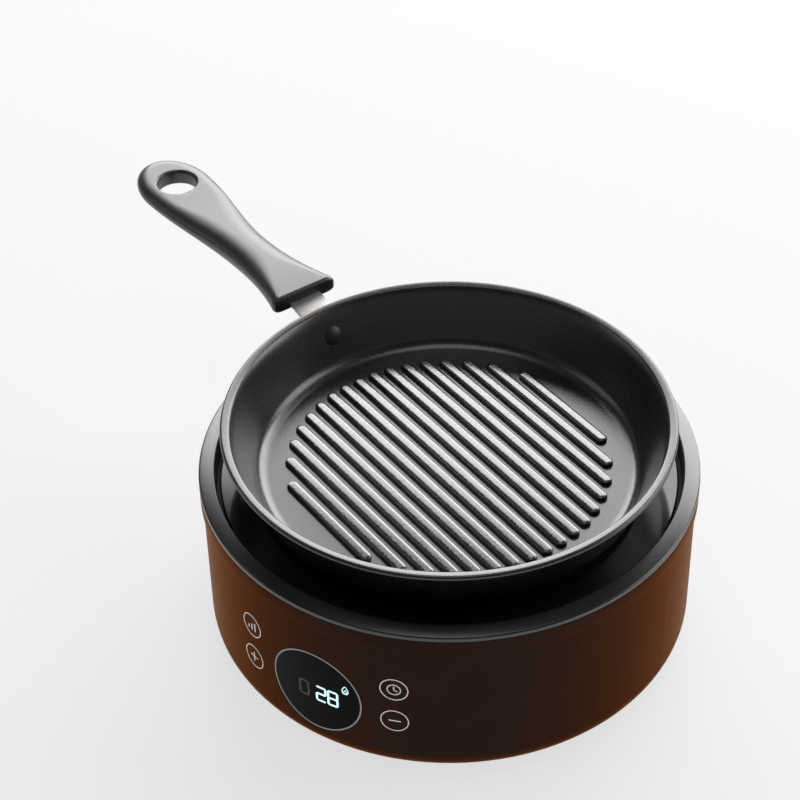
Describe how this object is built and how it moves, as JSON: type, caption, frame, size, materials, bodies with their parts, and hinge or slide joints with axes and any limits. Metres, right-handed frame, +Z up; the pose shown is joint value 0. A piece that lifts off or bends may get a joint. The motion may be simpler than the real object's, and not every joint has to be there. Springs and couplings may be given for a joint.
{
  "type": "countertop induction cooker with pan",
  "caption": "Round drum-shaped induction cooker with a display on its wall and a ridged frying pan that lifts off its glass plate.",
  "frame": {"origin": "on the drum's axis, in the plane that the feet stand on", "axes": "+Z up along the drum's axis, -Y out through the display, +X to the display's right as seen from the front"},
  "size_m": [0.4123, 0.262, 0.1324],
  "materials": {
    "housing_brown": "satin brown",
    "ring_black": "satin black",
    "hob_glass": "polished opaque black",
    "seal_rubber": "matte black",
    "window_black": "polished black",
    "trim_silver": "polished",
    "floor_black": "fine grain black",
    "foot_rubber": "matte black",
    "screw_steel": "zinc plated",
    "former_cream": "plain",
    "coil_copper": "enamelled wire",
    "ferrite_grey": "sintered",
    "sensor_metal": "plain",
    "sleeve_silicone": "matte",
    "board_green": "solder mask",
    "sink_aluminium": "extruded",
    "chip_black": "moulded",
    "capacitor_yellow": "moulded",
    "fan_black": "moulded",
    "digit_black": "moulded",
    "pad_foam": "conductive foam",
    "inlet_black": "moulded",
    "pin_brass": "plain",
    "lead_brown": "insulated wire",
    "cable_white": "flat cable",
    "pan_coating": "black non-stick coating",
    "disc_steel": "brushed",
    "tang_steel": "brushed",
    "rivet_steel": "coated black",
    "grip_black": "satin black"
  },
  "bodies": {
    "base": {"lower_housing": "housing_brown", "upper_cover": "housing_brown", "top_ring": "ring_black", "glass_plate": "hob_glass", "glass_gasket": "seal_rubber", "display_window": "window_black", "window_ring": "trim_silver", "bottom_cover": "floor_black", "rubber_feet": "foot_rubber", "base_screws": "screw_steel", "coil_former": "former_cream", "induction_coil": "coil_copper", "ferrite_bars": "ferrite_grey", "former_screws": "screw_steel", "plate_sensor": "sensor_metal", "sensor_sleeve": "sleeve_silicone", "power_board": "board_green", "board_screws": "screw_steel", "heat_sink": "sink_aluminium", "power_transistor": "chip_black", "bridge_rectifier": "chip_black", "filter_capacitors": "capacitor_yellow", "filter_choke": "coil_copper", "fan_frame": "fan_black", "fan_stator": "coil_copper", "fan_screws": "screw_steel", "display_board": "board_green", "digit_display": "digit_black", "touch_pads": "pad_foam", "panel_screws": "screw_steel", "buzzer": "chip_black", "power_inlet": "inlet_black", "inlet_pins": "pin_brass", "mains_leads": "lead_brown", "coil_leads": "coil_copper", "display_cable": "cable_white"},
    "fan": {"fan_rotor": "fan_black", "fan_shaft": "screw_steel"},
    "pan": {"pan_body": "pan_coating", "induction_disc": "disc_steel", "handle_tang": "tang_steel", "handle_rivet": "rivet_steel", "handle_grip": "grip_black", "grip_screw": "screw_steel"}
  },
  "joints": [
    {"name": "pan_lift", "type": "slide", "parent": "base", "child": "pan", "axis": [0, 0, 1], "range_m": [0, 0.12]},
    {"name": "fan_spin", "type": "hinge", "parent": "base", "child": "fan", "pos_m": [0.05, 0.028, 0], "axis": [0, 0, 1], "continuous": true}
  ]
}
